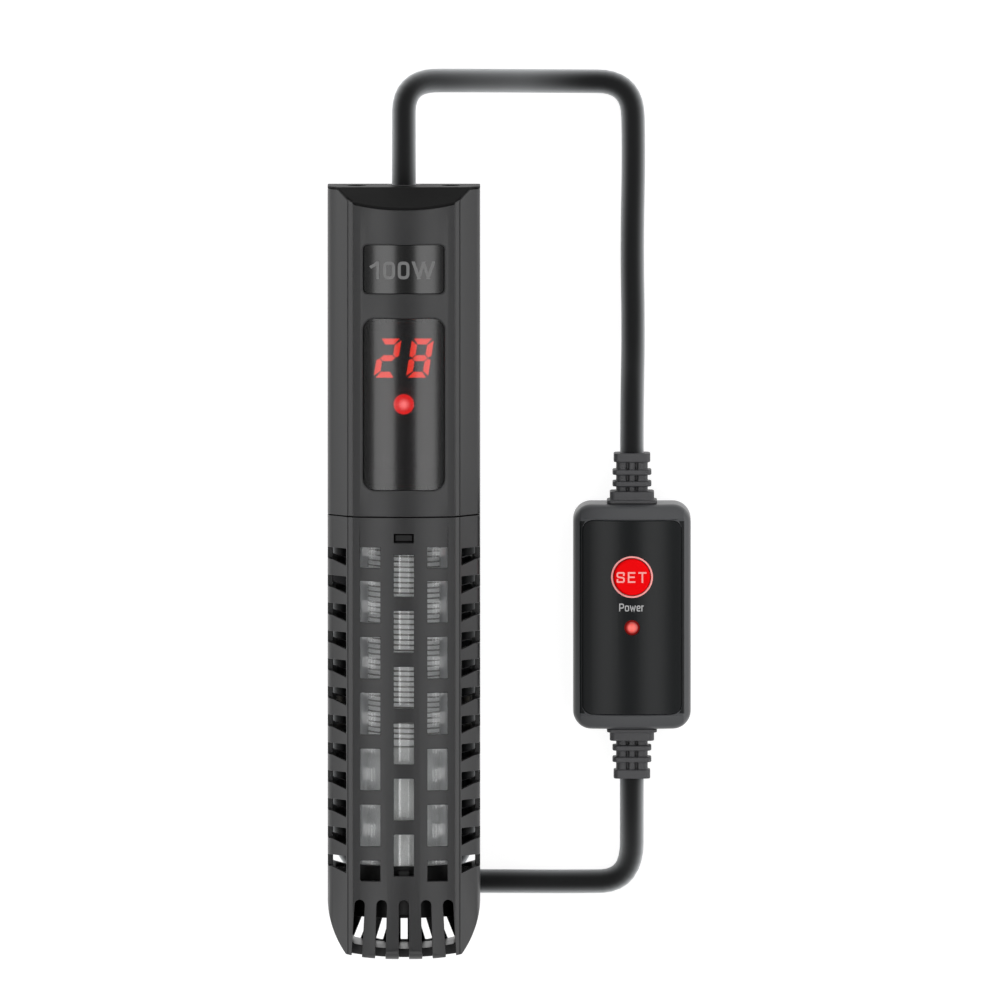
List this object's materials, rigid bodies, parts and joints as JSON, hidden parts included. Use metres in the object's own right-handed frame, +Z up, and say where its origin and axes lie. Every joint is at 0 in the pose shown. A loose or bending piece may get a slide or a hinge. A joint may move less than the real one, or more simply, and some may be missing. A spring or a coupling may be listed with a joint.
{
  "type": "submersible aquarium heater",
  "caption": "Submersible aquarium heater: slotted guard round a glass heating tube, digital display head, suction cups, and a lead with a hand controller and push button.",
  "frame": {"origin": "middle of the heater's own box, without the lead and what is on it, at the level of the suction cup rims that it lies on", "axes": "+X across the heater towards the hand controller, +Y along the heater towards its cap, +Z up through the display"},
  "size_m": [0.0941, 0.2298, 0.0525],
  "materials": {
    "body_plastic": "fine satin moulding",
    "cap_plastic": "fine satin moulding",
    "black_rubber": "matt",
    "screw_steel": "plain",
    "wire_insulation": "smooth",
    "badge_gloss": "polished",
    "window_smoke": "polished",
    "display_black": "smooth",
    "lamp_red": "clear tinted",
    "board_green": "solder mask",
    "component_black": "moulded",
    "capacitor_film": "dipped",
    "quartz_glass": "clear drawn",
    "core_ceramic": "unglazed",
    "winding_alloy": "oxidised",
    "fill_sand": "packed grain",
    "probe_steel": "drawn",
    "cup_rubber": "satin",
    "controller_plastic": "satin moulding",
    "controller_gloss": "polished",
    "button_red": "smooth",
    "cord_rubber": "semi-matt sheath",
    "tie_fabric": "woven strap",
    "pin_brass": "plated"
  },
  "bodies": {
    "heater": {"housing": "body_plastic", "top_cap": "cap_plastic", "cap_gasket": "black_rubber", "cap_screws": "screw_steel", "cable_gland": "black_rubber", "core_wires": "wire_insulation", "badge_plate": "badge_gloss", "display_window": "window_smoke", "digit_display": "display_black", "indicator_led": "lamp_red", "main_board": "board_green", "relay": "component_black", "dropper_capacitor": "capacitor_film", "terminal_block": "component_black", "tube_seal": "black_rubber", "quartz_tube": "quartz_glass", "heating_core": "core_ceramic", "heating_coil": "winding_alloy", "sand_fill": "fill_sand", "coil_leads": "wire_insulation", "thermal_fuse": "probe_steel", "temperature_probe": "probe_steel", "tube_boot": "black_rubber", "guard_cage": "body_plastic", "upper_suction_cup": "cup_rubber", "lower_suction_cup": "cup_rubber", "controller_top": "controller_plastic", "controller_base": "controller_plastic", "controller_face": "controller_gloss", "controller_screws": "screw_steel", "controller_board": "board_green", "tact_switch": "component_black", "power_led": "lamp_red", "heater_side_relief": "cord_rubber", "plug_side_relief": "cord_rubber", "heater_lead": "cord_rubber", "supply_lead": "cord_rubber", "supply_lead_hank": "cord_rubber", "cord_tie": "tie_fabric", "plug_body": "cord_rubber", "plug_pins": "pin_brass"},
    "button": {"set_button": "button_red", "switch_plunger": "component_black"}
  },
  "joints": [
    {"name": "set_button_press", "type": "slide", "parent": "heater", "child": "button", "axis": [0, 0, -1], "range_m": [0, 0.0006], "stiffness_N_per_m": 2500, "springref_m": -0.0002}
  ]
}
